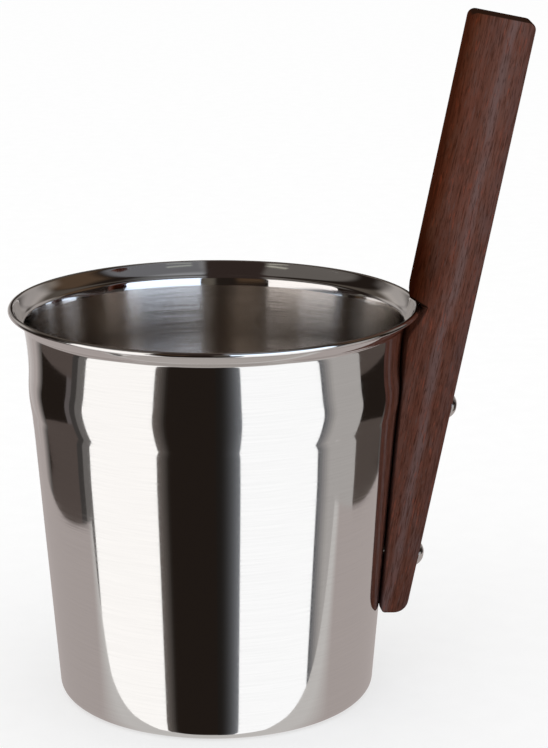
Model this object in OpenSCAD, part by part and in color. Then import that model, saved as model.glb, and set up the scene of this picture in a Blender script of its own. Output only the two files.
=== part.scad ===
// Sauna pail: a drawn steel pail with a straight wooden handle bolted to one side.
// Frame: origin at the centre of the base on the floor, +Z up, +X towards the handle.

/* [Pail] */
// Height of the pail from the floor to the top of its rim
pail_h = 196; // [180:1:240]
// Outside diameter of the rim
rim_d = 200; // [190:1:240]
// Outside diameter of the wall's straight cone at floor level
base_d = 156.5; // [130:0.5:170]
// Thickness of the steel sheet
sheet_t = 0.8; // [0.6:0.1:1.2]
// Outside radius between the base and the wall
base_corner_r = 5; // [3:0.5:10]
// Radial width of the flared lip, from the wall to the outside of the rim
flare_w = 7.1; // [5:0.1:9]
// Height of the flared lip
flare_h = 8; // [6:0.5:11]
// Depth of the lip's hollow, measured from its chord
flare_bow = 0.6; // [0.2:0.1:1]
// Diameter of the bead rolled along the edge of the lip
bead_d = 2.8; // [2.2:0.1:4]
// Distance from the top of the rim down to the crease round the wall
crease_drop = 51; // [45:1:65]
// How far the crease stands out from the straight cone
crease_rise = 0.3; // [0.1:0.1:1]
// Height of the stretch below the crease that runs out to it
crease_foot_h = 18; // [8:1:30]
// Height of the rounded shoulder above the crease
shoulder_h = 12; // [6:1:15]
// How far the shoulder swells between the crease and the band
shoulder_rise = 1.1; // [0.4:0.1:2]
// Height of the upright band above the shoulder
band_h = 8; // [4:1:12]

/* [Handle] */
// Width of the handle, across its broad side
handle_w = 31.3; // [26:0.1:38]
// Thickness of the handle
handle_t = 21; // [18:0.5:28]
// Lean of the handle from upright, in degrees
handle_lean = 11.1; // [8:0.1:14]
// Height of the handle's top end above the rim, on its middle line
handle_rise = 139; // [80:1:200]
// Distance from the outside of the rim to the handle's middle line, at rim height
handle_offset = 9.5; // [8:0.1:14]
// Height of the handle's lower end above the floor
handle_foot_h = 39.5; // [25:0.5:50]
// Radius of the two corners at the top end
top_corner_r = 3.6; // [1:0.1:8]
// Radius of the outer corner at the lower end
foot_corner_r = 7.5; // [2:0.5:9]
// Radius of the inner corner at the lower end
heel_corner_r = 2; // [1:0.5:3]
// Chamfer along the handle's long edges
handle_chamfer = 1.5; // [0.5:0.1:3]
// Gap between the handle and the wall where they bear on each other
seat_gap = 0.1; // [0.05:0.05:0.5]
// Room between the rim's bead and the handle's notch
notch_gap = 2; // [0.5:0.1:3]
// Angle of the notch's lower side from the level, in degrees
notch_slope = 57; // [45:1:65]

/* [Fasteners] */
// Diameter of the bolts
bolt_d = 6; // [5:0.5:7]
// Radial play of the bolts in the handle, the wall and the washers
bolt_play = 0.2; // [0.1:0.05:0.5]
// Diameter of the bolt heads
head_d = 12; // [10:0.5:16]
// Height of the upright edge of the bolt heads
head_edge_h = 0.6; // [0.3:0.1:1.5]
// Height of the dome on the bolt heads
dome_h = 3; // [2.4:0.1:4]
// Width of the hexagon socket in the bolt heads, across its flats
socket_w = 4; // [3:0.5:5]
// Depth of the hexagon socket
socket_depth = 2; // [1.5:0.1:2.4]
// Distance from the top of the rim down to the upper bolt head
upper_bolt_drop = 52; // [48:1:70]
// Height between the two bolt heads
bolt_spacing = 76.5; // [50:0.5:82]
// Diameter of the rubber seals inside the pail
seal_d = 14; // [12.5:0.5:18]
// Thickness of the rubber seals on the bolt axis
seal_t = 2; // [2:0.1:3]
// Diameter of the steel washers
washer_d = 12; // [11:0.5:16]
// Thickness of the steel washers
washer_t = 1.6; // [1:0.1:2]
// Width of the cap nuts across their flats
nut_w = 10; // [9:0.5:13]
// Height of the hexagon of the cap nuts
nut_hex_h = 5.5; // [4:0.5:7]
// Height of the cap nuts
nut_h = 12; // [11:0.5:15]
// Diameter of the round cap on the nuts
nut_cap_d = 9; // [8.5:0.5:10]
// Length of bolt thread inside each cap nut
thread_reach = 7; // [5:0.5:8]
// Gap left between a thread and its nut, and between a seal and the wall
close_fit = 0.05; // [0.02:0.01:0.1]

/* [Hidden] */
$fn = 360;

STEEL = [0.78, 0.77, 0.75];
WOOD = [0.27, 0.14, 0.11];
RUBBER = [0.08, 0.08, 0.08];

// Straight pieces that stand for one curve of the wall's section
CURVE_STEPS = 6;
// Power of the curve by which the wall runs out to the lip above its upright band
NECK_CURVE = 1.5;
// Overlap that carries a cut clear through a face
cut = 1;

// Wall of the pail
rim_r = rim_d / 2;
base_r = base_d / 2;
bead_r = bead_d / 2;
bead_c = [rim_r - bead_r, pail_h - bead_r];
neck_r = rim_r - flare_w;
neck_z = pail_h - flare_h;
cone_slope = (neck_r - base_r) / neck_z;
cone_angle = atan(cone_slope);
crease_z = pail_h - crease_drop;
hollow_z = crease_z - crease_foot_h;
band_z = crease_z + shoulder_h;
band_top_z = band_z + band_h;
band_r = cone_r(crease_z) + crease_rise + shoulder_rise;
base_arc_r = cone_r(base_corner_r) - base_corner_r / cos(cone_angle);

// Radius of the straight cone at height z
function cone_r(z) = base_r + cone_slope * z;

// Outside radius of the wall at height z, from the base's corner up to the lip
function wall_r(z) =
    z < hollow_z ? cone_r(z)
    : z < crease_z ? cone_r(z) + crease_rise * pow((z - hollow_z) / crease_foot_h, 2)
    : z < band_z ? band_r - shoulder_rise * pow((band_z - z) / shoulder_h, 2)
    : z < band_top_z ? band_r
    : band_r + (neck_r - band_r) * pow((z - band_top_z) / (neck_z - band_top_z), NECK_CURVE);

// Heights from a to b in equal steps, without a itself
function heights(a, b) = [for (i = [1 : CURVE_STEPS]) a + (b - a) * i / CURVE_STEPS];

function unit(v) = v / norm(v);
function left_of(v) = [-v[1], v[0]];

// Path moved sideways by a distance to its left
function moved_left(path, d) =
    let (last = len(path) - 1)
    [for (i = [0 : last])
        let (before = left_of(unit(path[max(i, 1)] - path[max(i, 1) - 1])),
             after = left_of(unit(path[min(i + 1, last)] - path[min(i + 1, last) - 1])),
             way = unit(before + after))
        path[i] + way * d / (way * before)];

// Outside of the sheet's section, from the middle of the base out and up to the bead
base_corner = [for (i = [0 : CURVE_STEPS])
    let (a = -90 + (90 - cone_angle) * i / CURVE_STEPS)
    [base_arc_r + base_corner_r * cos(a), base_corner_r * (1 + sin(a))]];
wall_side = [for (z = concat([hollow_z], heights(hollow_z, crease_z), heights(crease_z, band_z),
                             [band_top_z], heights(band_top_z, neck_z))) [wall_r(z), z]];
lip_start = [neck_r, neck_z];
lip_dir = unit(bead_c - lip_start);
lip_side = [for (i = [1 : CURVE_STEPS])
    let (t = i / CURVE_STEPS)
    lip_start + (bead_c - lip_start) * t - left_of(lip_dir) * flare_bow * 4 * t * (1 - t)];
sheet_outside = concat([[0, 0]], base_corner, wall_side, lip_side);

// Handle, in the upright plane through the pail's axis, as [x, z]
lean_x = sin(handle_lean);
lean_z = cos(handle_lean);
half_w = handle_w / 2;
top_z = pail_h + handle_rise;
upper_bolt_z = pail_h - upper_bolt_drop;
lower_bolt_z = upper_bolt_z - bolt_spacing;

// The handle's middle line, outer edge and inner edge at height z
function middle_x(z) = rim_r + handle_offset + tan(handle_lean) * (z - pail_h);
function outer_x(z) = middle_x(z) + half_w / lean_z;
function inner_x(z) = middle_x(z) - half_w / lean_z;

// The seat is a straight cut that bears on the wall at the handle's foot and at the shoulder
seat_slope = max([for (z = concat(heights(crease_z, band_z), [crease_z, band_top_z, neck_z]))
    (wall_r(z) - wall_r(handle_foot_h)) / (z - handle_foot_h)]);
function seat_x(z) = wall_r(handle_foot_h) + seat_gap + seat_slope * (z - handle_foot_h);
seat_top_z = pail_h + (seat_x(pail_h) - inner_x(pail_h)) / (tan(handle_lean) - seat_slope);

inner_top = [middle_x(top_z) - half_w * lean_z, top_z + half_w * lean_x];
outer_top = [middle_x(top_z) + half_w * lean_z, top_z - half_w * lean_x];
outer_foot = [outer_x(handle_foot_h), handle_foot_h];
inner_foot = [seat_x(handle_foot_h), handle_foot_h];
seat_top = [seat_x(seat_top_z), seat_top_z];

// Distance along a bolt, from the handle's outer edge at height z to the inside of the wall,
// found in a few rounds because the bolt meets the wall at another height
function wall_depth(z, guess = 0, rounds = 8) =
    rounds == 0 ? guess
    : wall_depth(z, (outer_x(z) - wall_r(z + guess * lean_x) + sheet_t) / lean_z, rounds - 1);

head_h = head_edge_h + dome_h;
dome_r = (pow(head_d / 2, 2) + pow(dome_h, 2)) / (2 * dome_h);
bore_d = bolt_d + 2 * bolt_play;
nut_bore_d = bolt_d + 2 * close_fit;
// Share of a hexagon's corner circle that its bevel leaves at the end face
NUT_BEVEL = 0.9;

// Corner piece outside a round of radius r, at corner q between points p and s
module corner_cut(p, q, s, r) {
    u = unit(p - q);
    v = unit(s - q);
    half = acos(u * v) / 2;
    difference() {
        polygon([q + u * r / tan(half), q - unit(u + v) * cut, q + v * r / tan(half)]);
        translate(q + unit(u + v) * r / sin(half)) circle(r);
    }
}

// Three-cornered bar that takes the chamfer off a long edge, from [x, z] point p upwards
module edge_cut(p, angle, edge_l, face) {
    deep = handle_chamfer + cut;
    for (side = [-1, 1])
        translate([p[0], side * handle_t / 2, p[1]])
            rotate([0, angle, 0])
                translate([0, 0, -edge_l / 2])
                    linear_extrude(edge_l)
                        polygon([[-deep * face, cut * side], [cut * face, -deep * side],
                                 [cut * face, cut * side]]);
}

// Frame of the bolt whose head sits at height z: local +Z runs out of the handle
module at_bolt(z) {
    translate([outer_x(z), 0, z]) rotate([0, 90 + handle_lean, 0]) children();
}

// Turned section, with its seam on the side away from the handle
module turned() {
    rotate([0, 0, 180]) rotate_extrude() children();
}

// Hole for one bolt through the handle, the wall and the seal
module bolt_bore(z) {
    inner_end = wall_depth(z) + 2 * seal_t;
    at_bolt(z) translate([0, 0, -inner_end]) cylinder(d = bore_d, h = inner_end + head_h);
}

module pail() {
    sheet_inside = moved_left(sheet_outside, sheet_t);
    last = len(sheet_inside) - 1;
    color(STEEL) difference() {
        turned() union() {
            polygon(concat(sheet_outside, [for (i = [last : -1 : 0]) sheet_inside[i]]));
            translate(bead_c) circle(bead_r);
        }
        bolt_bore(upper_bolt_z);
        bolt_bore(lower_bolt_z);
    }
}

module handle_outline() {
    notch_reach = bead_r + notch_gap;
    difference() {
        polygon([inner_top, outer_top, outer_foot, inner_foot, seat_top]);
        corner_cut(seat_top, inner_top, outer_top, top_corner_r);
        corner_cut(inner_top, outer_top, outer_foot, top_corner_r);
        corner_cut(outer_top, outer_foot, inner_foot, foot_corner_r);
        corner_cut(outer_foot, inner_foot, seat_top, heel_corner_r);
        translate(bead_c) rotate(notch_slope) translate([-handle_w + notch_reach, -notch_reach])
            square(handle_w);
    }
}

module handle() {
    long = 2 * (top_z - handle_foot_h);
    seat_lean = atan(seat_slope);
    color(WOOD) difference() {
        rotate([90, 0, 0]) linear_extrude(handle_t, center = true) handle_outline();
        edge_cut(outer_top, handle_lean, long, 1);
        edge_cut(inner_top, handle_lean, long, -1);
        edge_cut(inner_foot, seat_lean, long, -1);
        bolt_bore(upper_bolt_z);
        bolt_bore(lower_bolt_z);
    }
}

module bolt(z) {
    shank_l = wall_depth(z) + seal_t + washer_t + thread_reach;
    color(STEEL) at_bolt(z) difference() {
        union() {
            rotate_extrude() intersection() {
                translate([0, head_h - dome_r]) circle(dome_r);
                square([head_d / 2, head_h]);
            }
            translate([0, 0, -shank_l]) cylinder(d = bolt_d, h = shank_l + head_edge_h);
        }
        translate([0, 0, head_h - socket_depth])
            cylinder(d = socket_w / cos(30), h = socket_depth + cut, $fn = 6);
    }
}

// The rubber takes the shape of the wall on one side and is flat under its washer
module seal(z) {
    depth = wall_depth(z);
    room = moved_left(sheet_outside, sheet_t + close_fit);
    color(RUBBER) difference() {
        intersection() {
            at_bolt(z) translate([0, 0, -depth - seal_t]) cylinder(d = seal_d, h = 2 * seal_t);
            turned() polygon(concat(room, [[0, room[len(room) - 1][1]]]));
        }
        bolt_bore(z);
    }
}

module washer(z) {
    inner_face = -wall_depth(z) - seal_t - washer_t;
    color(STEEL) at_bolt(z) translate([0, 0, inner_face]) difference() {
        cylinder(d = washer_d, h = washer_t);
        translate([0, 0, -cut]) cylinder(d = bore_d, h = washer_t + 2 * cut);
    }
}

// Local +Z of the nut runs from its seat on the washer into the pail
module cap_nut(z) {
    corner_r = nut_w / 2 / cos(30);
    cap_r = nut_cap_d / 2;
    seat = -wall_depth(z) - seal_t - washer_t;
    bevel_h = corner_r * (1 - NUT_BEVEL);
    color(STEEL) at_bolt(z) translate([0, 0, seat]) mirror([0, 0, 1]) difference() {
        union() {
            intersection() {
                cylinder(r = corner_r, h = nut_hex_h, $fn = 6);
                rotate_extrude() polygon([[0, 0], [corner_r + cut, 0], [corner_r + cut, nut_hex_h - bevel_h],
                                          [corner_r * NUT_BEVEL, nut_hex_h], [0, nut_hex_h]]);
            }
            rotate_extrude() intersection() {
                square([cap_r, nut_h]);
                union() {
                    square([cap_r, nut_h - cap_r]);
                    translate([0, nut_h - cap_r]) circle(cap_r);
                }
            }
        }
        translate([0, 0, -cut]) cylinder(d = nut_bore_d, h = thread_reach + 2 * cut);
    }
}

pail();
handle();
bolt(upper_bolt_z);  // upper_bolt
bolt(lower_bolt_z);  // lower_bolt
seal(upper_bolt_z);  // upper_seal
seal(lower_bolt_z);  // lower_seal
washer(upper_bolt_z);  // upper_washer
washer(lower_bolt_z);  // lower_washer
cap_nut(upper_bolt_z);  // upper_cap_nut
cap_nut(lower_bolt_z);  // lower_cap_nut
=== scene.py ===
"""Looks of a sauna pail of polished steel with a dark wooden handle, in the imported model's frame."""

import math

import bmesh
import bpy
from mathutils import Matrix, Vector


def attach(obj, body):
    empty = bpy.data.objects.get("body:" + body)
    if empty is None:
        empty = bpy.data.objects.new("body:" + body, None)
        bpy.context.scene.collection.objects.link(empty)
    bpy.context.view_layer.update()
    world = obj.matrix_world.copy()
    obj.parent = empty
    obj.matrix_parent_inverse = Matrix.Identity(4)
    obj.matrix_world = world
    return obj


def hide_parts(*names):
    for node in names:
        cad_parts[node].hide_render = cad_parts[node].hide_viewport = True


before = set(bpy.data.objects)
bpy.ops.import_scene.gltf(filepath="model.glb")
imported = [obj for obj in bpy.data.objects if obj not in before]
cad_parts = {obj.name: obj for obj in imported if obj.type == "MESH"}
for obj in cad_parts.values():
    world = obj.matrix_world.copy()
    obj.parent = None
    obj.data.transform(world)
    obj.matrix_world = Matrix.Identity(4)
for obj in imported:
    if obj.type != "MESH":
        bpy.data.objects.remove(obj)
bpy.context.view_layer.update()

MM = 0.001

# A hair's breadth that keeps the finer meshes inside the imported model's box
HAIR = 0.01 * MM

# Sizes of the pail, the same as in the part's source
PAIL_H = 196 * MM - HAIR
RIM_R = 100 * MM - HAIR
BASE_R = 78.25 * MM
SHEET_T = 0.8 * MM
BASE_CORNER_R = 5 * MM
FLARE_W = 7.1 * MM
FLARE_H = 8 * MM
BEAD_R = 1.4 * MM
CREASE_DROP = 51 * MM
CREASE_RISE = 0.3 * MM
CREASE_FOOT_H = 18 * MM
SHOULDER_H = 12 * MM
SHOULDER_RISE = 1.1 * MM
BAND_H = 8 * MM

# The photograph's finer reading of the wall above the band: a slight waist, then the neck's curve
WAIST_DEPTH = 0.28 * MM
NECK_CURVE = 2

# The inside is polished down to here and brushed satin below
SATIN_DROP = 11.4 * MM

# Bends at the crease and between the wall and the lip, and the lip's slant from upright at its two ends
CREASE_BEND = 1.6 * MM
NECK_BEND = 0.8 * MM
LIP_START_SLANT = math.radians(56)
LIP_END_SLANT = math.radians(25)

# Sizes of the handle
HANDLE_W = 31.3 * MM
HANDLE_T = 21 * MM
HANDLE_LEAN = math.radians(11.1)
HANDLE_RISE = 139 * MM
HANDLE_OFFSET = 9.5 * MM
HANDLE_FOOT_H = 39.5 * MM
TOP_CORNER_R = 3.6 * MM
FOOT_CORNER_R = 7.5 * MM
HEEL_CORNER_R = 2 * MM
NOTCH_CORNER_R = 0.6 * MM
SEAT_CORNER_R = 6 * MM
LEAST_CORNER_R = 0.05 * MM
EDGE_ROUND = 0.9 * MM
SEAT_GAP = 0.1 * MM
NOTCH_GAP = 2 * MM
NOTCH_FIT = 0.2 * MM
NOTCH_SLOPE = math.radians(57)

# The seat's two long edges run straight and stand a little clear of the wall, which its middle bears on
SEAT_EDGE_GAP = 1.0 * MM
SEAT_EDGE_LEAN = math.radians(4.55)

# Sizes of the fasteners
BOLT_R = 3 * MM
BORE_R = 3.2 * MM
HEAD_R = 6 * MM
HEAD_EDGE_H = 0.6 * MM
DOME_H = 3 * MM
SOCKET_W = 4 * MM
SOCKET_DEPTH = 2 * MM
UPPER_BOLT_DROP = 52 * MM
BOLT_SPACING = 76.5 * MM
SEAL_T = 2 * MM
WASHER_R = 6 * MM
WASHER_T = 1.6 * MM
NUT_W = 10 * MM
NUT_HEX_H = 5.5 * MM
NUT_H = 12 * MM
NUT_CAP_R = 4.5 * MM
NUT_PLAY = 0.05 * MM
THREAD_REACH = 7 * MM
THREAD_SPARE = 1 * MM

# Edges of the fasteners. A nut's bevel starts at this share of its corner radius
SHANK_CHAMFER = 0.6 * MM
HEAD_EDGE_ROUND = 0.2 * MM
SOCKET_CONE_H = 0.5 * MM
WASHER_EDGE = 0.25 * MM
NUT_BEVEL = 0.9
NUT_BEVEL_SLOPE = 0.6

# Angles between two faces from which the edge between them is sharp
BOLT_SHARP = math.radians(35)
WASHER_SHARP = math.radians(50)
NUT_SHARP = math.radians(32)

# Mesh fineness: points round the turned pieces and steps along the stretches of a section or outline
PAIL_STEPS = 288
SMALL_STEPS = 72
BORE_STEPS = 48
CURVE_STEPS = 14
BASE_STEPS = 10
WALL_STEPS = 24
BAND_STEPS = 6
NECK_STEPS = 8
ROLL_STEPS = 28
SHOULDER_STEPS = 6
SEAT_STEPS = 8
CORNER_STEPS = 8
EDGE_STEPS = 6
FLAT_STEPS = 10
DOME_STEPS = 12

# A ring of a smaller radius than this is one point on the axis
POINT_R = 1e-7

# Rounds in which the depth of a bolt's hole is found, because the bolt meets the wall at another height
DEPTH_ROUNDS = 8

# Camera at the photograph's place, for a picture of 548 x 748
PICTURE_H = 748
CAMERA_PLACE = (29 * MM, -1111.2 * MM, 455 * MM)
CAMERA_PITCH = math.radians(14.863)
FOCAL_PIXELS = 2345.9
SENSOR_MM = 36

# Values that follow from the sizes
NECK_R = RIM_R - FLARE_W
NECK_Z = PAIL_H - FLARE_H
BEAD_C = Vector((RIM_R - BEAD_R, PAIL_H - BEAD_R))
CONE_SLOPE = (NECK_R - BASE_R) / NECK_Z
CONE_ANGLE = math.atan(CONE_SLOPE)
CREASE_Z = PAIL_H - CREASE_DROP
HOLLOW_Z = CREASE_Z - CREASE_FOOT_H
BAND_Z = CREASE_Z + SHOULDER_H
BAND_TOP_Z = BAND_Z + BAND_H
SATIN_TOP_Z = PAIL_H - SATIN_DROP
BAND_R = BASE_R + CONE_SLOPE * CREASE_Z + CREASE_RISE + SHOULDER_RISE
LEAN_X = math.sin(HANDLE_LEAN)
LEAN_Z = math.cos(HANDLE_LEAN)
HANDLE_TOP_Z = PAIL_H + HANDLE_RISE
NOTCH_LOW_WAY = Vector((math.cos(NOTCH_SLOPE), math.sin(NOTCH_SLOPE)))
UPPER_BOLT_Z = PAIL_H - UPPER_BOLT_DROP
LOWER_BOLT_Z = UPPER_BOLT_Z - BOLT_SPACING


def steps(a, b, count=CURVE_STEPS):
    """Values from a to b in equal steps, without a itself."""
    return [a + (b - a) * i / count for i in range(1, count + 1)]


def stops(a, b, count=CURVE_STEPS):
    """Values from a to b in equal steps, a included."""
    return [a] + steps(a, b, count)


def eased(share):
    """Share between 0 and 1 that starts and ends smoothly."""
    return share * share * (3 - 2 * share)


def bend(start, knee, end, count=CURVE_STEPS):
    """Points of a curve from start to end that leaves and arrives along the lines through knee."""
    points = []
    for t in stops(0, 1, count):
        points.append(start * (1 - t) ** 2 + knee * 2 * t * (1 - t) + end * t * t)
    return points


def crossing(p, p_way, q, q_way):
    """Point where two lines in a plane meet."""
    across = p_way.x * q_way.y - p_way.y * q_way.x
    gap = q - p
    return p + p_way * ((gap.x * q_way.y - gap.y * q_way.x) / across)


def left_of(way):
    """The way turned a quarter to the left."""
    return Vector((-way.y, way.x))


def moved_left(path, distance):
    """The path moved sideways by a distance to its left."""
    moved = []
    last = len(path) - 1
    for i, point in enumerate(path):
        before = left_of((path[max(i, 1)] - path[max(i, 1) - 1]).normalized())
        after = left_of((path[min(i + 1, last)] - path[min(i + 1, last) - 1]).normalized())
        way = (before + after).normalized()
        moved.append(point + way * (distance / way.dot(before)))
    return moved


# Section of the pail, as (radius, height)

def cone_r(z):
    """Outside radius of the plain cone at height z."""
    return BASE_R + CONE_SLOPE * z


def wall_r(z):
    """Outside radius of the wall at height z, below the lip."""
    if z < HOLLOW_Z:
        return cone_r(z)
    if z < CREASE_Z:
        return cone_r(z) + CREASE_RISE * ((z - HOLLOW_Z) / CREASE_FOOT_H) ** 2
    if z < BAND_Z:
        return BAND_R - SHOULDER_RISE * ((BAND_Z - z) / SHOULDER_H) ** 2
    if z < BAND_TOP_Z:
        return BAND_R - WAIST_DEPTH * eased((z - BAND_Z) / BAND_H)
    waist_r = BAND_R - WAIST_DEPTH
    return waist_r + (NECK_R - waist_r) * ((z - BAND_TOP_Z) / (NECK_Z - BAND_TOP_Z)) ** NECK_CURVE


def sheet_outside():
    """Outside of the sheet's section, from the middle of the base up to the end of the lip."""
    arc_r = cone_r(BASE_CORNER_R) - BASE_CORNER_R / math.cos(CONE_ANGLE)
    path = [Vector((r, 0)) for r in stops(0, arc_r, BASE_STEPS)]
    for angle in steps(-math.pi / 2, -CONE_ANGLE):
        path.append(Vector((arc_r + BASE_CORNER_R * math.cos(angle),
                            BASE_CORNER_R * (1 + math.sin(angle)))))
    crease = Vector((wall_r(CREASE_Z), CREASE_Z))
    over_crease = Vector((wall_r(CREASE_Z + CREASE_BEND), CREASE_Z + CREASE_BEND))
    below = steps(path[-1].y, HOLLOW_Z, WALL_STEPS) + steps(HOLLOW_Z, CREASE_Z - CREASE_BEND)
    path += [Vector((wall_r(z), z)) for z in below]
    path += bend(path[-1], crease, over_crease)[1:]
    above = steps(over_crease.y, BAND_Z) + steps(BAND_Z, BAND_TOP_Z, BAND_STEPS)
    above += steps(BAND_TOP_Z, NECK_Z - NECK_BEND)
    path += [Vector((wall_r(z), z)) for z in above]
    neck = Vector((NECK_R, NECK_Z))
    lip_way = Vector((math.sin(LIP_START_SLANT), math.cos(LIP_START_SLANT)))
    lip_start = neck + lip_way * NECK_BEND
    path += bend(path[-1], neck, lip_start, NECK_STEPS)[1:]
    end_way = Vector((math.sin(LIP_END_SLANT), math.cos(LIP_END_SLANT)))
    lip_end = BEAD_C + left_of(end_way) * (BEAD_R - SHEET_T)
    knee = crossing(lip_start, lip_way, lip_end, end_way)
    path += bend(lip_start, knee, lip_end)[1:]
    return path


def sheet_r(z):
    """Outside radius of the sheet at height z, lip included."""
    path = sheet_outside()
    low = max(i for i in range(len(path) - 1) if path[i].y <= z)
    share = (z - path[low].y) / (path[low + 1].y - path[low].y)
    return path[low].x + (path[low + 1].x - path[low].x) * share


def pail_section():
    """Closed section of the pail, and the place in it where the satin inside begins, below the neck."""
    outside = sheet_outside()
    inside = moved_left(outside, SHEET_T)
    shown = [p for p in outside if (p - BEAD_C).length > BEAD_R]
    roll_end = math.atan2(inside[-1].y - BEAD_C.y, inside[-1].x - BEAD_C.x)
    half_hidden = math.acos((BEAD_R - SHEET_T) / BEAD_R)
    roll_start = roll_end + half_hidden - 2 * math.pi
    roll = []
    for angle in stops(roll_start, roll_end, ROLL_STEPS)[:-1]:
        roll.append(BEAD_C + Vector((math.cos(angle), math.sin(angle))) * BEAD_R)
    bright = [p for p in inside if p.y > SATIN_TOP_Z]
    return shown + roll + inside[::-1], len(shown) + len(roll) + len(bright)


# Mesh building

def new_piece(name, bm, materials):
    """Object made from a mesh in work, all faces smooth."""
    bmesh.ops.recalc_face_normals(bm, faces=bm.faces)
    mesh = bpy.data.meshes.new(name)
    for face in bm.faces:
        face.smooth = True
    bm.to_mesh(mesh)
    bm.free()
    for material in materials:
        mesh.materials.append(material)
    piece = bpy.data.objects.new(name, mesh)
    bpy.context.scene.collection.objects.link(piece)
    return piece


def bridge(bm, low, high, material=0):
    """Faces between two rings of points, either of which may be a single point."""
    count = max(len(low), len(high))
    for i in range(count):
        j = (i + 1) % count
        corners = [low[i % len(low)], low[j % len(low)], high[j % len(high)], high[i % len(high)]]
        face = bm.faces.new(list(dict.fromkeys(corners)))
        face.material_index = material


def join_rows(bm, rows):
    """Faces between neighbouring rows of points."""
    for low, high in zip(rows, rows[1:]):
        for i in range(len(low) - 1):
            bm.faces.new((low[i], low[i + 1], high[i + 1], high[i]))


def turned(name, section, count, materials, second_from=None):
    """Piece turned about the Z axis, with the second material from that place in the section on.

    A point of the section is (radius, height), or a function that gives them for an angle.
    """
    bm = bmesh.new()
    rings = []
    for spot in section:
        ring = []
        for i in range(count):
            angle = 2 * math.pi * i / count
            radius, height = spot(angle) if callable(spot) else spot
            if radius < POINT_R:
                ring = [bm.verts.new((0, 0, height))]
                break
            ring.append(bm.verts.new((radius * math.cos(angle), radius * math.sin(angle), height)))
        rings.append(ring)
    for i in range(len(rings) - 1):
        second = second_from is not None and i >= second_from
        bridge(bm, rings[i], rings[i + 1], 1 if second else 0)
    return new_piece(name, bm, materials)


def cutter(radius, length, place):
    """Round bar along local +Z, for drilling a hole."""
    bm = bmesh.new()
    bmesh.ops.create_cone(bm, cap_ends=True, segments=BORE_STEPS, radius1=radius, radius2=radius,
                          depth=length)
    bar = new_piece("cutter", bm, [])
    bar.matrix_world = place
    return bar


def drill(piece, bars):
    """Cuts the bars out of the piece and takes the bars away."""
    for bar in bars:
        modifier = piece.modifiers.new("bore", "BOOLEAN")
        modifier.operation = "DIFFERENCE"
        modifier.solver = "EXACT"
        modifier.object = bar
    bpy.context.view_layer.update()
    graph = bpy.context.evaluated_depsgraph_get()
    cut = bpy.data.meshes.new_from_object(piece.evaluated_get(graph))
    piece.modifiers.clear()
    piece.data = cut
    for bar in bars:
        bpy.data.objects.remove(bar)


def dress(piece, node):
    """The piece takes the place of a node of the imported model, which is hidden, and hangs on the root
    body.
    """
    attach(piece, "root")
    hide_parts(node)


# Handle, in the upright plane through the pail's axis as (x, z)

def middle_x(z):
    """Middle of the bar at height z."""
    return RIM_R + HANDLE_OFFSET + math.tan(HANDLE_LEAN) * (z - PAIL_H)


def outer_x(z):
    """Outer edge of the bar at height z."""
    return middle_x(z) + HANDLE_W / 2 / LEAN_Z


def notch_tip(gap):
    """Tip of the notch that leaves this gap round the bead."""
    reach = BEAD_R + gap
    return BEAD_C + NOTCH_LOW_WAY * reach - left_of(NOTCH_LOW_WAY) * reach


def seat_point(z, crown):
    """Point of the seat: scribed to the sheet at a crown of 0, on its straight long edges at 1."""
    scribed = sheet_r(z) + SEAT_GAP
    long_edge = wall_r(HANDLE_FOOT_H) + SEAT_EDGE_GAP + math.tan(SEAT_EDGE_LEAN) * (z - HANDLE_FOOT_H)
    tip = notch_tip(NOTCH_GAP)
    notch_edge = tip.x - (tip.y - z) / math.tan(NOTCH_SLOPE)
    edge = max(long_edge, notch_edge)
    return Vector((scribed + (edge - scribed) * crown, z))


def handle_corners(crown):
    """Corners of the handle's outline in order round it, each with its radius, 0 for none."""
    foot_r = wall_r(HANDLE_FOOT_H)
    bearing_z = stops(CREASE_Z, BAND_Z, SHOULDER_STEPS) + [BAND_TOP_Z, NECK_Z]
    slope = max((wall_r(z) - foot_r) / (z - HANDLE_FOOT_H) for z in bearing_z)
    bearing = Vector((foot_r + SEAT_GAP, HANDLE_FOOT_H))
    bearing_way = Vector((slope, 1))
    lean_way = Vector((LEAN_X, LEAN_Z))
    across = Vector((LEAN_Z, -LEAN_X)) * HANDLE_W / 2
    top = Vector((middle_x(HANDLE_TOP_Z), HANDLE_TOP_Z))
    notch = notch_tip(NOTCH_FIT + (NOTCH_GAP - NOTCH_FIT) * crown)
    seat_z = [HOLLOW_Z, CREASE_Z, (CREASE_Z + BAND_Z) / 2, BAND_Z, BAND_TOP_Z]
    seat_z += stops(BAND_TOP_Z + BAND_H, BEAD_C.y - BEAD_R, SEAT_STEPS)
    corners = [
        (top - across, TOP_CORNER_R),
        (top + across, TOP_CORNER_R),
        (Vector((outer_x(HANDLE_FOOT_H), HANDLE_FOOT_H)), FOOT_CORNER_R),
        (seat_point(HANDLE_FOOT_H, crown), HEEL_CORNER_R),
    ]
    corners += [(seat_point(z, crown), 0) for z in seat_z]
    corners += [
        (notch, NOTCH_CORNER_R),
        (crossing(notch, left_of(NOTCH_LOW_WAY), bearing, bearing_way), EDGE_ROUND),
        (crossing(bearing, bearing_way, top - across, lean_way), SEAT_CORNER_R),
    ]
    return corners


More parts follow.
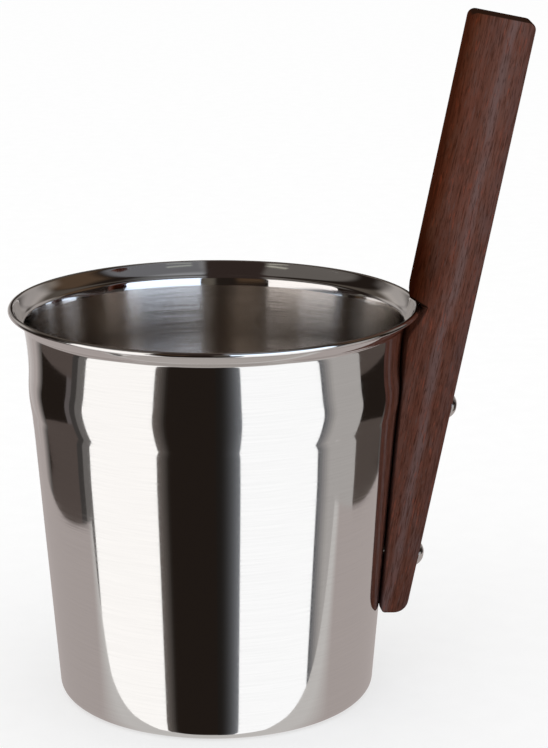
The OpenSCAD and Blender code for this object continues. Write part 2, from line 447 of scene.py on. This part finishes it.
def outline(corners, inset):
    """Points round an outline moved inwards by inset, with rounded corners."""
    total = len(corners)
    ways = []
    for i in range(total):
        ways.append((corners[(i + 1) % total][0] - corners[i][0]).normalized())
    points = []
    for i, (corner, radius) in enumerate(corners):
        way_in, way_out = ways[i - 1], ways[i]
        if radius == 0:
            aside = (left_of(way_in) + left_of(way_out)).normalized()
            points.append(corner - aside * (inset / aside.dot(left_of(way_in))))
            continue
        moved_in = corner - left_of(way_in) * inset
        moved_out = corner - left_of(way_out) * inset
        tip = crossing(moved_in, way_in, moved_out, way_out)
        turn = math.atan2(way_in.x * way_out.y - way_in.y * way_out.x, way_in.dot(way_out))
        side = 1 if turn > 0 else -1
        round_r = max(radius + side * inset, LEAST_CORNER_R)
        cut = round_r * math.tan(abs(turn) / 2)
        centre = tip - way_in * cut + left_of(way_in) * side * round_r
        start = tip - way_in * cut - centre
        for angle in stops(0, turn, CORNER_STEPS):
            points.append(centre + Matrix.Rotation(angle, 2) @ start)
    return points


def make_handle(material):
    """Bar of wood with rounded edges and a seat whose middle bears on the wall."""
    flat_y = HANDLE_T / 2 - EDGE_ROUND
    near_side = [(2 * EDGE_ROUND, HANDLE_T / 2)]
    for turn in stops(0, math.pi / 2, EDGE_STEPS):
        angle = math.pi / 2 - turn
        near_side.append((EDGE_ROUND * (1 - math.cos(angle)), flat_y + EDGE_ROUND * math.sin(angle)))
    far_side = [(inset, -y) for inset, y in reversed(near_side)]
    between = [(0, y) for y in steps(flat_y, -flat_y, FLAT_STEPS)[:-1]]
    bm = bmesh.new()
    rings = []
    for inset, y in near_side + between + far_side:
        crown = min(abs(y) / flat_y, 1) ** 2
        rings.append([bm.verts.new((p.x, y, p.y)) for p in outline(handle_corners(crown), inset)])
    for low, high in zip(rings, rings[1:]):
        bridge(bm, low, high)
    bm.faces.new(rings[0])
    bm.faces.new(rings[-1])
    return new_piece("handle_wood", bm, [material])


# Fasteners, in a frame whose local +Z runs out of the handle along the bolt

def bolt_place(z):
    """Frame of the bolt whose head sits on the handle's outer edge at height z."""
    turn = Matrix.Rotation(math.pi / 2 + HANDLE_LEAN, 4, "Y")
    return Matrix.Translation((outer_x(z), 0, z)) @ turn


def wall_depth(z):
    """Distance along a bolt from the handle's outer edge to the inside of the wall."""
    depth = 0
    for _ in range(DEPTH_ROUNDS):
        depth = (outer_x(z) - wall_r(z + depth * LEAN_X) + SHEET_T) / LEAN_Z
    return depth


def nut_seat(z):
    """Local height of the washer's inner face, which the cap nut bears on."""
    return -wall_depth(z) - SEAL_T - WASHER_T


def hexagon_r(width, angle):
    """Radius of a hexagon of that width across its flats."""
    sector = math.pi / 3
    return width / 2 / math.cos(angle % sector - sector / 2)


def fastener(name, section, material, sharp, z):
    """Turned fastener in its place on the bolt at height z."""
    piece = turned(name, section, SMALL_STEPS, [material])
    piece.data.set_sharp_from_angle(angle=sharp)
    piece.matrix_world = bolt_place(z)
    return piece


def make_bolt(name, z, material):
    """Bolt with a chamfered shank and a domed head that has a hexagon socket."""
    dome_r = (HEAD_R ** 2 + DOME_H ** 2) / (2 * DOME_H)
    head_h = HEAD_EDGE_H + DOME_H
    floor_h = head_h - SOCKET_DEPTH
    end = nut_seat(z) - THREAD_REACH

    def on_dome(share):
        def spot(angle):
            edge = hexagon_r(SOCKET_W, angle)
            radius = edge + (HEAD_R - edge) * share
            return radius, head_h - dome_r + math.sqrt(dome_r ** 2 - radius ** 2)
        return spot

    def in_socket(height):
        return lambda angle: (hexagon_r(SOCKET_W, angle), height)

    section = [(0, end), (BOLT_R - SHANK_CHAMFER, end), (BOLT_R, end + SHANK_CHAMFER), (BOLT_R, 0),
               (HEAD_R - HEAD_EDGE_ROUND, 0), (HEAD_R, HEAD_EDGE_ROUND)]
    section += [on_dome(share) for share in stops(1, 0, DOME_STEPS)]
    section += [in_socket(floor_h), (0, floor_h - SOCKET_CONE_H)]
    return fastener(name, section, material, BOLT_SHARP, z)


def make_washer(name, z, material):
    """Flat washer with its edges broken."""
    edge = WASHER_EDGE
    inner = nut_seat(z)
    outer = inner + WASHER_T
    section = [(BORE_R, inner + edge), (BORE_R + edge, inner), (WASHER_R - edge, inner),
               (WASHER_R, inner + edge), (WASHER_R, outer - edge), (WASHER_R - edge, outer),
               (BORE_R + edge, outer), (BORE_R, outer - edge), (BORE_R, inner + edge)]
    return fastener(name, section, material, WASHER_SHARP, z)


def make_cap_nut(name, z, material):
    """Hexagon nut with beveled corners and a closed round cap."""
    seat = nut_seat(z)
    bevel_r = NUT_W / math.sqrt(3) * NUT_BEVEL

    def beveled(low):
        def spot(angle):
            radius = hexagon_r(NUT_W, angle)
            over = max(radius - bevel_r, 0) * NUT_BEVEL_SLOPE
            return radius, seat - (over if low else NUT_HEX_H - over)
        return spot

    def level(height):
        return lambda angle: (min(hexagon_r(NUT_W, angle), bevel_r), seat - height)

    hole_r = BOLT_R + NUT_PLAY
    hole_end = seat - THREAD_REACH - THREAD_SPARE
    section = [(0, hole_end), (hole_r, hole_end), (hole_r, seat), level(0), beveled(True),
               beveled(False), level(NUT_HEX_H), (NUT_CAP_R, seat - NUT_HEX_H)]
    cap_z = seat - NUT_H + NUT_CAP_R
    for angle in stops(0, math.pi / 2, DOME_STEPS)[:-1]:
        section.append((NUT_CAP_R * math.cos(angle), cap_z - NUT_CAP_R * math.sin(angle)))
    section.append((0, seat - NUT_H))
    return fastener(name, section, material, NUT_SHARP, z)


# Materials

# Places of the two colours and of the result among the sockets of a Mix node
MIX_FIRST = 6
MIX_SECOND = 7
MIX_RESULT = 2

# Noise swings about this value
NOISE_MIDDLE = 0.5

# Length of the lines in the steel, their widths, and a turn that lays the highlights across them
LINE_LENGTH = 40 * MM
POLISHED_LINE_W = 0.4 * MM
SATIN_LINE_W = 0.05 * MM
ACROSS_LINES = 0.25

# How far the brushed lines of the satin inside tip the surface
BRUSH_TIP = 1.0

# How far the painted sheen streak and the painted shade along the wood's edges wander across the bar
WANDER = 16 * MM

# Tones of the wood
DARK_BAND = (0.095, 0.037, 0.026)
LIGHT_BAND = (0.124, 0.056, 0.044)
# A pale streak of painted sheen, where a highlight runs down the bar's front face
PAINTED_SHEEN_STREAK = (0.134, 0.084, 0.080)
GREY_CLOUD = (0.105, 0.066, 0.062)
RED_CLOUD = (0.125, 0.040, 0.026)
RED_FLECK = (0.19, 0.055, 0.035)
GREY_FLECK = (0.105, 0.068, 0.064)
DARK_FIBRE = (0.040, 0.014, 0.008)
DARK_PORE = (0.022, 0.008, 0.005)
END_GRAIN = (0.016, 0.0075, 0.0045)

# Painted shade that multiplies the tones of the wood, along its edges, on its inner side and just above
# the rim
INNER_EDGE_PAINTED_SHADE = (0.72, 0.52, 0.36)
OUTER_EDGE_PAINTED_SHADE = (0.84, 0.90, 0.97)
ABOVE_RIM_PAINTED_SHADE = (0.52, 0.42, 0.34)
INNER_SIDE_PAINTED_SHADE = (0.62, 0.52, 0.46)


class Nodes:
    """Short ways to add and join nodes of one material."""

    def __init__(self, name):
        self.material = bpy.data.materials.new(name)
        self.material.use_nodes = True
        self.tree = self.material.node_tree
        self.tree.nodes.clear()
        self.shader = self.add("ShaderNodeBsdfPrincipled")
        output = self.add("ShaderNodeOutputMaterial")
        self.join(self.shader.outputs[0], output.inputs["Surface"])

    def add(self, kind, **values):
        node = self.tree.nodes.new(kind)
        for key, value in values.items():
            setattr(node, key, value)
        return node

    def join(self, source, target):
        self.tree.links.new(source, target)

    def feed(self, socket, value):
        """Joins the socket to another one, or sets it to a plain value."""
        if isinstance(value, bpy.types.NodeSocket):
            self.join(value, socket)
        else:
            socket.default_value = value

    def set(self, name, value):
        self.feed(self.shader.inputs[name], value)

    def here(self):
        return self.add("ShaderNodeTexCoord").outputs["Object"]

    def parts(self, vector):
        """The three numbers of a vector."""
        node = self.add("ShaderNodeSeparateXYZ")
        self.join(vector, node.inputs[0])
        return node.outputs

    def math(self, operation, a, b=None):
        node = self.add("ShaderNodeMath", operation=operation)
        self.feed(node.inputs[0], a)
        if b is not None:
            self.feed(node.inputs[1], b)
        return node.outputs[0]

    def vector(self, operation, a, b=None):
        node = self.add("ShaderNodeVectorMath", operation=operation)
        self.feed(node.inputs[0], a)
        if b is not None:
            self.feed(node.inputs[1], b)
        return node.outputs[0]

    def noise(self, vector, scale=1.0, detail=2.0, roughness=0.5, distortion=0.0):
        node = self.add("ShaderNodeTexNoise")
        self.join(vector, node.inputs["Vector"])
        node.inputs["Scale"].default_value = scale
        node.inputs["Detail"].default_value = detail
        node.inputs["Roughness"].default_value = roughness
        node.inputs["Distortion"].default_value = distortion
        return node.outputs["Fac"]

    def between(self, value, low, high, to_low=0.0, to_high=1.0):
        """Value mapped from one span to another, smooth at both ends."""
        node = self.add("ShaderNodeMapRange", interpolation_type="SMOOTHSTEP")
        self.join(value, node.inputs["Value"])
        node.inputs["From Min"].default_value = low
        node.inputs["From Max"].default_value = high
        node.inputs["To Min"].default_value = to_low
        node.inputs["To Max"].default_value = to_high
        return node.outputs[0]

    def mix(self, share, a, b, blend="MIX"):
        """Colour mixed from two, each a socket or plain numbers."""
        node = self.add("ShaderNodeMix", data_type="RGBA", blend_type=blend)
        self.feed(node.inputs["Factor"], share)
        for place, colour in ((MIX_FIRST, a), (MIX_SECOND, b)):
            plain = isinstance(colour, tuple)
            self.feed(node.inputs[place], (*colour, 1.0) if plain else colour)
        return node.outputs[MIX_RESULT]

    def bump(self, height, strength, distance):
        node = self.add("ShaderNodeBump")
        node.inputs["Strength"].default_value = strength
        node.inputs["Distance"].default_value = distance
        self.join(height, node.inputs["Height"])
        self.set("Normal", node.outputs[0])


def round_lines(n, width):
    """Noise drawn out into fine lines that run round the Z axis, on walls and on level faces alike."""
    x, y, z = n.parts(n.here())
    radius = n.math("SQRT", n.math("ADD", n.math("MULTIPLY", x, x), n.math("MULTIPLY", y, y)))
    along = n.add("ShaderNodeCombineXYZ")
    n.join(n.math("DIVIDE", x, LINE_LENGTH), along.inputs[0])
    n.join(n.math("DIVIDE", y, LINE_LENGTH), along.inputs[1])
    n.join(n.math("DIVIDE", n.math("ADD", z, radius), width), along.inputs[2])
    return n.noise(along.outputs[0], detail=3.0, roughness=0.6)


def lined_metal(n, anisotropy):
    """Sets the shader to metal with lines round the Z axis, and gives the direction of the lines."""
    tangent = n.add("ShaderNodeTangent", direction_type="RADIAL", axis="Z").outputs[0]
    n.set("Metallic", 1.0)
    n.set("Anisotropic", anisotropy)
    n.set("Anisotropic Rotation", ACROSS_LINES)
    n.set("Tangent", tangent)
    return tangent


def polished_steel():
    """Stainless steel with fine lines from polishing wheels that ran round the pail."""
    n = Nodes("polished_steel")
    lines = round_lines(n, POLISHED_LINE_W)
    bright = (0.78, 0.77, 0.755)
    worn = tuple(c * 0.97 for c in bright)
    n.set("Base Color", n.mix(n.between(lines, 0.35, 0.65), bright, worn))
    n.set("Roughness", n.between(lines, 0.38, 0.62, 0.04, 0.09))
    lined_metal(n, 0.6)
    n.bump(lines, 0.25, 0.002 * MM)
    return n.material


def satin_steel():
    """Steel brushed level inside. Each fine line tips the surface across its run and never along it."""
    n = Nodes("satin_steel")
    lines = round_lines(n, SATIN_LINE_W)
    bright = (0.80, 0.75, 0.695)
    worn = (0.78, 0.73, 0.675)
    n.set("Base Color", n.mix(n.between(lines, 0.35, 0.65), bright, worn))
    n.set("Roughness", n.between(lines, 0.35, 0.65, 0.15, 0.27))
    n.set("Specular Tint", (0.28, 0.25, 0.23, 1.0))
    tangent = lined_metal(n, 1.0)
    normal = n.add("ShaderNodeNewGeometry").outputs["Normal"]
    tip = n.add("ShaderNodeVectorMath", operation="SCALE")
    n.join(n.vector("CROSS_PRODUCT", tangent, normal), tip.inputs[0])
    n.join(n.math("MULTIPLY", n.math("SUBTRACT", lines, NOISE_MIDDLE), BRUSH_TIP), tip.inputs["Scale"])
    n.set("Normal", n.vector("NORMALIZE", n.vector("ADD", normal, tip.outputs[0])))
    return n.material


def fastener_steel():
    """Polished fastener steel with faint turning marks."""
    n = Nodes("fastener_steel")
    marks = n.noise(n.vector("MULTIPLY", n.here(), (900, 900, 2600)), detail=2.0)
    n.set("Base Color", n.mix(n.between(marks, 0.3, 0.7), (0.78, 0.77, 0.75), (0.70, 0.69, 0.67)))
    n.set("Roughness", n.between(marks, 0.3, 0.75, 0.10, 0.19))
    n.set("Metallic", 1.0)
    n.bump(marks, 0.1, 0.02 * MM)
    return n.material


def along_handle(n):
    """Place in the handle's own frame: x across the bar, z along it from the height of the rim."""
    upright = n.add("ShaderNodeMapping", vector_type="TEXTURE")
    upright.inputs["Location"].default_value = (RIM_R + HANDLE_OFFSET, 0, PAIL_H)
    upright.inputs["Rotation"].default_value = (0, HANDLE_LEAN, 0)
    n.join(n.here(), upright.inputs["Vector"])
    return upright.outputs[0]


def end_grain(n):
    """Near 1 where the surface cuts across the fibres, 0 where it runs along them."""
    along = n.add("ShaderNodeVectorMath", operation="DOT_PRODUCT")
    n.join(n.add("ShaderNodeNewGeometry").outputs["Normal"], along.inputs[0])
    along.inputs[1].default_value = (LEAN_X, 0, LEAN_Z)
    return n.between(n.math("ABSOLUTE", along.outputs["Value"]), 0.25, 0.75, 0.0, 0.93)


def dark_wood():
    """Heat-treated wood: long fibres, growth bands, red flecks and darker ends, with a painted sheen
    streak and painted shade on its edges and above the rim.
    """
    n = Nodes("dark_wood")
    here = along_handle(n)

    def grain(scale, **values):
        return n.noise(n.vector("MULTIPLY", here, scale), **values)

    bands = grain((110, 110, 4), detail=3.0, distortion=0.4)
    fibres = grain((1500, 1500, 110), detail=3.0, roughness=0.65)
    pores = grain((2400, 2400, 200), detail=1.0)
    flecks = grain((1100, 1100, 150), detail=2.0)
    clouds = grain((160, 160, 45), detail=2.0)
    wander = n.math("MULTIPLY", n.math("SUBTRACT", grain((4, 4, 9)), NOISE_MIDDLE), WANDER)
    across_bar, _, along_bar = n.parts(here)
    across = n.math("ADD", across_bar, wander)

    # Tones of the grain, and a pale streak of painted sheen, each laid over those before it
    sheen_streak = n.math("MULTIPLY", n.between(across, 1 * MM, 4 * MM), n.between(across, 8 * MM, 5 * MM))
    tones = (
        (n.math("MULTIPLY", sheen_streak, 0.8), PAINTED_SHEEN_STREAK),
        (n.between(clouds, 0.52, 0.72, 0.0, 0.45), GREY_CLOUD),
        (n.between(clouds, 0.48, 0.3, 0.0, 0.35), RED_CLOUD),
        (n.between(flecks, 0.58, 0.75, 0.0, 0.65), RED_FLECK),
        (n.between(flecks, 0.42, 0.28, 0.0, 0.4), GREY_FLECK),
        (n.between(fibres, 0.3, 0.55, 0.7, 0.0), DARK_FIBRE),
        (n.between(pores, 0.6, 0.75, 0.0, 0.6), DARK_PORE),
    )
    colour = n.mix(n.between(bands, 0.3, 0.7), DARK_BAND, LIGHT_BAND)
    for share, tone in tones:
        colour = n.mix(share, colour, tone)

    # Painted shade, darker where less light reaches the wood
    # Painted shadow of the lip on the wood just above the rim
    rim_shadow_top = n.between(along_bar, 48 * MM, 12 * MM)
    rim_shadow_band = n.math("MULTIPLY", rim_shadow_top, n.between(along_bar, -8 * MM, 0.0))
    # Painted shade on both long edges, on the inner side next to the wall, and just above the rim
    painted_shades = (
        (n.between(across, -3 * MM, -14 * MM), INNER_EDGE_PAINTED_SHADE),
        (n.between(across, 9 * MM, 14 * MM), OUTER_EDGE_PAINTED_SHADE),
        (n.math("MULTIPLY", rim_shadow_band, n.between(across, 2 * MM, -13 * MM)), ABOVE_RIM_PAINTED_SHADE),
        (n.between(across_bar, -12 * MM, -15.5 * MM), INNER_SIDE_PAINTED_SHADE),
    )
    for share, painted_shade in painted_shades:
        colour = n.mix(share, colour, painted_shade, "MULTIPLY")

    n.set("Base Color", n.mix(end_grain(n), colour, END_GRAIN))
    n.set("Roughness", n.between(fibres, 0.3, 0.7, 0.52, 0.68))
    n.set("Specular IOR Level", 0.0)
    n.bump(n.math("SUBTRACT", fibres, n.between(pores, 0.6, 0.8, 0.0, 0.8)), 0.35, 0.06 * MM)
    return n.material


def seal_rubber():
    """Matt moulded rubber with a fine grain."""
    n = Nodes("seal_rubber")
    grain = n.noise(n.here(), scale=2500.0, detail=2.0)
    n.set("Base Color", n.mix(n.between(grain, 0.3, 0.7), (0.018, 0.018, 0.018), (0.032, 0.031, 0.030)))
    n.set("Roughness", n.between(grain, 0.3, 0.7, 0.62, 0.78))
    n.bump(grain, 0.3, 0.03 * MM)
    return n.material


# The object

def make_object():
    """All visible pieces, each in the place of its node. The seals keep their own shape."""
    wood = dark_wood()
    steel = fastener_steel()
    rubber = seal_rubber()

    section, satin_from = pail_section()
    pail = turned("pail_steel", section, PAIL_STEPS, [polished_steel(), satin_steel()], satin_from)
    handle = make_handle(wood)
    for piece in (pail, handle):
        bars = []
        for z in (UPPER_BOLT_Z, LOWER_BOLT_Z):
            bars.append(cutter(BORE_R, 2 * (wall_depth(z) + SEAL_T), bolt_place(z)))
        drill(piece, bars)
    dress(pail, "pail")
    dress(handle, "handle")
    for side, z in (("upper", UPPER_BOLT_Z), ("lower", LOWER_BOLT_Z)):
        dress(make_bolt(side + "_bolt_steel", z, steel), side + "_bolt")
        dress(make_washer(side + "_washer_steel", z, steel), side + "_washer")
        dress(make_cap_nut(side + "_cap_nut_steel", z, steel), side + "_cap_nut")
        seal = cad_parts[side + "_seal"]
        seal.data.materials.clear()
        seal.data.materials.append(rubber)


# Studio, round the pail. Azimuth 0 is the camera's side and + is to its right, in degrees

# Distances of the cards and of the dark room behind them, in metres, and steps along their sides
CARD_DISTANCE = 15.0
ROOM_DISTANCE = 16.5
CARD_STEPS = 12
ROOM_ROWS = 180
ROOM_COLUMNS = 360

ROOM_TONE = (0.0175, 0.0125, 0.010)

# Soft glows in the dark room: azimuths and elevations in degrees, width of their soft edges, colour
ROOM_GLOWS = (
    ((84, 122), (18, 46), 14, (0.075, 0.047, 0.028)),
    ((112, 127), (3, 24), 10, (0.16, 0.15, 0.14)),
    ((127, 158), (5, 27), 12, (0.36, 0.335, 0.325)),
    ((-127, -115), (3, 22), 10, (0.12, 0.11, 0.105)),
    ((-158, -127), (5, 27), 12, (0.40, 0.375, 0.36)),
    ((158, 172), (0, 16), 6, (0.28, 0.26, 0.25)),
    ((-172, -158), (0, 16), 6, (0.30, 0.28, 0.27)),
    ((125, 200), (20, 80), 12, (0.075, 0.065, 0.055)),
    ((-200, -125), (20, 80), 12, (0.075, 0.065, 0.055)),
    ((1, 10), (-5, 26), 4, (0.10, 0.09, 0.075)),
    ((-30, -13), (8, 26), 5, (0.06, 0.035, 0.018)),
    ((-200, 200), (-100, -58), 6, (0.46, 0.43, 0.415)),
)

# Glows of the ceiling, split by a dark slit that runs over the pail from front to back
CEILING_GLOWS = (
    ((-10, 77), (24, 100), 9, (0.15, 0.155, 0.17)),
    ((-10, 130), (66, 100), 14, (0.13, 0.135, 0.14)),
    ((-99, 10), (24, 100), 9, (0.12, 0.112, 0.105)),
    ((-50, -33), (39.6, 41.8), 2, (0.40, 0.40, 0.34)),
    ((17, 35), (41.8, 44), 2, (0.22, 0.24, 0.20)),
)
SLIT_GLOWS = (
    ((-200, 200), (30, 100), 10, (0.0175, 0.0115, 0.011)),
)

# The slit's sides in degrees at one elevation, its soft edges, and its spread for each degree below
SLIT = (-20.2, 4.8)
SLIT_ELEVATION = 60
SLIT_SOFT = 3
SLIT_SPREAD = 0.0145

# Elevations and tones that several cards share
LOW = (-60, -5)
LOWEST = (-60, -20)
BEHIND = (-60, 3)
PALE = (0.455, 0.405, 0.393)
PALER = (0.80, 0.77, 0.76)
DIM = (0.10, 0.09, 0.085)

# Cards of one tone: name, azimuths, elevations, colour
PLAIN_CARDS = (
    ("white_left", (-86, -36.5), LOW, (1.25, 1.23, 1.22)),
    ("white_right", (17.5, 70.5), LOW, (1.235, 1.25, 1.275)),
    ("warm_left", (-82, -33), (-5, 28), (1.28, 1.22, 1.20)),
    ("cool_right", (10, 70), (-5, 31), (1.34, 1.56, 1.92)),
    ("edge_left", (-92.5, -86), LOW, (0.16, 0.15, 0.145)),
    ("gap_left", (-97.5, -92.5), LOW, (0.055, 0.05, 0.048)),
    ("post_left", (-102, -97.5), (-20, -5), (0.12, 0.105, 0.105)),
    ("grey_right", (80, 103), LOW, (0.46, 0.44, 0.43)),
    ("low_left", (-131, -97.5), LOWEST, (0.095, 0.075, 0.068)),
    ("low_right", (103, 131), LOWEST, (0.09, 0.072, 0.064)),
    ("back_strip", (171, 189), BEHIND, (0.030, 0.024, 0.021)),
)

# Rows of narrow cards: name, azimuths, elevations, first and last tone, count, curve (above 1 is late)
SOFT_CARDS = (
    ("front_left", (-36.5, -28), LOW, (0.16, 0.14, 0.13), (0.025, 0.02, 0.017), 6, 1.0),
    ("front_right", (2, 17.5), LOW, (0.016, 0.0135, 0.012), (0.22, 0.23, 0.25), 12, 2.5),
    ("edge_right", (70.5, 80), LOW, (0.14, 0.14, 0.15), (0.42, 0.40, 0.39), 5, 1.0),
    ("back_left", (-142, -131), BEHIND, PALE, DIM, 5, 1.0),
    ("back_right", (131, 142), BEHIND, DIM, PALE, 5, 1.0),
    ("back_first", (142, 171), BEHIND, PALE, PALER, 6, 1.5),
    ("back_second", (189, 218), BEHIND, PALER, PALE, 6, 0.6),
)

# Table top, in metres: its height, sides, front and back, and the stretch in which its front edge fades
TABLE_Z = -0.5 * MM
TABLE_SIDES = (-0.29, 0.315)
TABLE_FRONT = -0.070
TABLE_BACK = 0.6
TABLE_FADE = 0.014
TABLE_STEPS = 7

# Gap in the table behind the pail: its two sides at the near end and at the far end
TABLE_GAP = ((-0.065, 0.065), (-0.25, 0.25))

# Paler strip along the table's front, which narrows to the left, as corners (x, y)
TABLE_EDGE = (
    (-0.29, -0.0702), (-0.10, -0.072), (-0.03, -0.080),
    (0.315, -0.082), (0.315, -0.070), (-0.29, -0.070),
)
TABLE_EDGE_TONE = (0.62, 0.60, 0.59)

# Floor, in metres: half its side, and how far it lies below the pail. Its own glow makes it white
FLOOR_REACH = 8.0
FLOOR_DROP = 0.2 * MM
FLOOR_GLOW = 0.56

# Lamp above the front left: its place and side in metres, and its power in watts
LAMP_PLACE = (-0.9, -1.1, 1.6)
LAMP_SIDE = 1.2
LAMP_POWER = 3


def glow(name, colour):
    """Plain light-giving material for a studio card."""
    material = bpy.data.materials.new(name)
    material.use_nodes = True
    tree = material.node_tree
    tree.nodes.clear()
    emission = tree.nodes.new("ShaderNodeEmission")
    emission.inputs["Color"].default_value = (*colour, 1.0)
    output = tree.nodes.new("ShaderNodeOutputMaterial")
    tree.links.new(emission.outputs[0], output.inputs["Surface"])
    return material


def only_in_reflections(thing):
    """Stages a thing that only the steel shows."""
    thing.visible_camera = False
    thing.visible_diffuse = False
    thing.visible_shadow = False


def dome_way(azimuth, elevation):
    """Direction from the pail to a place on the dome round it."""
    turn, lift = math.radians(azimuth), math.radians(elevation)
    return Vector((math.sin(turn) * math.cos(lift), -math.cos(turn) * math.cos(lift), math.sin(lift)))


def dome_card(name, azimuths, elevations, colour):
    """Plain card on the far dome."""
    bm = bmesh.new()
    rows = []
    for e in stops(*elevations, CARD_STEPS):
        ways = [dome_way(a, e) for a in stops(*azimuths, CARD_STEPS)]
        rows.append([bm.verts.new(way * CARD_DISTANCE) for way in ways])
    join_rows(bm, rows)
    only_in_reflections(new_piece(name, bm, [glow(name, colour)]))


def blend(first, last, share):
    """Colour a share of the way from the first to the last."""
    return [a + (b - a) * share for a, b in zip(first, last)]


def soft_card(name, azimuths, elevations, first, last, count, curve):
    """Row of narrow dome cards whose colour goes over from the first to the last."""
    edges = stops(*azimuths, count)
    for i in range(count):
        share = (i / (count - 1)) ** curve
        dome_card(name + "_" + str(i), (edges[i], edges[i + 1]), elevations, blend(first, last, share))


def table_card(name, corners, colour):
    """Card at the height of the table top, with its corners as (x, y)."""
    bm = bmesh.new()
    bm.faces.new([bm.verts.new((x, y, TABLE_Z)) for x, y in corners])
    only_in_reflections(new_piece(name, bm, [glow(name, colour)]))


def table_strip(name, front, back, colour):
    """Strip of the table from one depth to another."""
    left, right = TABLE_SIDES
    table_card(name, [(left, front), (right, front), (right, back), (left, back)], colour)


def make_table():
    """Pale table top with a paler front edge that fades into it and a gap behind the pail."""
    near = -TABLE_FRONT
    table_card("table_edge", TABLE_EDGE, TABLE_EDGE_TONE)
    fades = stops(TABLE_FRONT, TABLE_FRONT + TABLE_FADE, TABLE_STEPS)
    for i in range(TABLE_STEPS):
        tone = blend(TABLE_EDGE_TONE, PALE, (i + 0.5) / TABLE_STEPS)
        table_strip("table_fade_" + str(i), fades[i], fades[i + 1], tone)
    table_strip("table_top", fades[-1], near, PALE)
    for name, side, inner, outer in zip(("table_left", "table_right"), TABLE_SIDES, *TABLE_GAP):
        corners = [(side, near), (inner, near), (outer, TABLE_BACK), (side, TABLE_BACK)]
        table_card(name, corners, PALE)


def window(value, span, soft):
    """1 inside a span of degrees and 0 outside, going over smoothly at both ends."""
    share = 1.0
    for inward in (value - span[0], span[1] - value):
        share *= eased(min(max((inward + soft / 2) / soft, 0), 1))
    return share


def room_tone(azimuth, elevation):
    """Light from the dark room in one direction, with its soft glows."""
    sideways = math.degrees(math.asin(dome_way(azimuth, elevation).x))
    spread = 1 + (SLIT_ELEVATION - elevation) * SLIT_SPREAD
    slit = window(sideways / spread, SLIT, SLIT_SOFT)
    tone = Vector(ROOM_TONE)
    for glows, share in ((ROOM_GLOWS, 1), (CEILING_GLOWS, 1 - slit), (SLIT_GLOWS, slit)):
        for azimuths, elevations, soft, colour in glows:
            inside = window(azimuth, azimuths, soft) * window(elevation, elevations, soft)
            tone += Vector(colour) * (inside * share)
    return tone


def make_room():
    """Dark room all round, as one far dome whose points carry its light."""
    bm = bmesh.new()
    light = bm.verts.layers.float_color.new("room_light")
    rows = []
    for e in stops(-90, 90, ROOM_ROWS):
        row = []
        for a in stops(-180, 180, ROOM_COLUMNS):
            spot = bm.verts.new(dome_way(a, e) * ROOM_DISTANCE)
            spot[light] = (*room_tone(a, e), 1.0)
            row.append(spot)
        rows.append(row)
    join_rows(bm, rows)
    material = glow("dark_room", (0, 0, 0))
    tree = material.node_tree
    tone = tree.nodes.new("ShaderNodeAttribute")
    tone.attribute_name = "room_light"
    tree.links.new(tone.outputs["Color"], tree.nodes["Emission"].inputs["Color"])
    only_in_reflections(new_piece("dark_room", bm, [material]))


def make_studio():
    """What the steel reflects: two white screens, grey walls, a pale table top and a dark room."""
    make_room()
    for card in PLAIN_CARDS:
        dome_card(*card)
    for card in SOFT_CARDS:
        soft_card(*card)
    make_table()


def make_floor():
    """Pale floor that takes the pail's soft shadow."""
    n = Nodes("pale_floor")
    speckle = n.noise(n.here(), scale=60.0, detail=2.0)
    n.set("Base Color", n.mix(n.between(speckle, 0.3, 0.7), (0.42, 0.42, 0.42), (0.43, 0.43, 0.43)))
    n.set("Emission Color", (1.0, 1.0, 1.0, 1.0))
    n.set("Emission Strength", FLOOR_GLOW)
    n.set("Roughness", 0.9)
    n.set("Specular IOR Level", 0.0)
    bm = bmesh.new()
    bmesh.ops.create_grid(bm, x_segments=1, y_segments=1, size=FLOOR_REACH)
    floor = new_piece("floor", bm, [n.material])
    floor.location.z = -FLOOR_DROP
    floor.visible_glossy = False


def make_world():
    """Plain white light from all round."""
    world = bpy.data.worlds.new("studio")
    bpy.context.scene.world = world
    world.use_nodes = True
    tree = world.node_tree
    tree.nodes.clear()
    background = tree.nodes.new("ShaderNodeBackground")
    background.inputs["Color"].default_value = (1.0, 1.0, 1.0, 1.0)
    background.inputs["Strength"].default_value = 1.0
    output = tree.nodes.new("ShaderNodeOutputWorld")
    tree.links.new(background.outputs[0], output.inputs["Surface"])


def make_lamp():
    """One large soft lamp above the front left."""
    data = bpy.data.lights.new("soft_lamp", "AREA")
    data.shape = "SQUARE"
    data.size = LAMP_SIDE
    data.energy = LAMP_POWER
    lamp = bpy.data.objects.new("soft_lamp", data)
    bpy.context.scene.collection.objects.link(lamp)
    lamp.location = LAMP_PLACE
    aim = Vector((0, 0, PAIL_H / 2)) - lamp.location
    lamp.rotation_euler = aim.to_track_quat("-Z", "Y").to_euler()
    lamp.visible_glossy = False


def make_camera():
    """Camera of the photograph's view."""
    data = bpy.data.cameras.new("camera")
    data.sensor_width = SENSOR_MM
    data.lens = FOCAL_PIXELS * SENSOR_MM / PICTURE_H
    camera = bpy.data.objects.new("camera", data)
    bpy.context.scene.collection.objects.link(camera)
    camera.location = CAMERA_PLACE
    camera.rotation_euler = (math.pi / 2 - CAMERA_PITCH, 0, 0)
    bpy.context.scene.camera = camera


make_camera()
make_object()
make_floor()
make_studio()
make_world()
make_lamp()
bpy.context.scene.view_settings.view_transform = "Standard"
